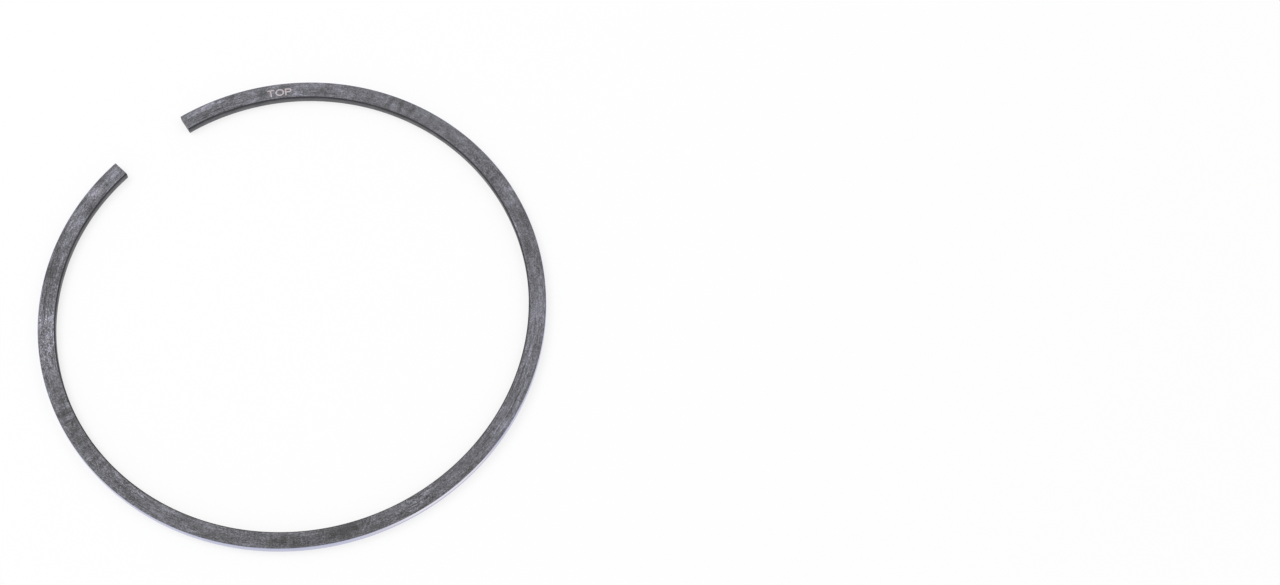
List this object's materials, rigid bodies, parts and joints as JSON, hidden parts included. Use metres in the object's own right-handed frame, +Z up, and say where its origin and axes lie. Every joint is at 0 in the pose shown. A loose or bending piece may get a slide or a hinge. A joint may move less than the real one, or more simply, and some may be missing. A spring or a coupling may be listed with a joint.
{
  "type": "piston ring",
  "caption": "Split top compression ring in its free, sprung-open shape, with flat sides, a chromed running face, a bevelled inner edge and a straight-cut gap.",
  "frame": {"origin": "middle of the ring's outline, on the plane of its bottom side", "axes": "+Z up through the top side, +Y towards the gap, +X across the ring's widest part"},
  "size_m": [0.0818, 0.0793, 0.0015],
  "materials": {
    "ring_iron": "dark phosphated sides and inner face with burnished patches, bright hard chrome on the running face"
  },
  "bodies": {
    "root": {"piston_ring": "ring_iron"}
  },
  "joints": []
}
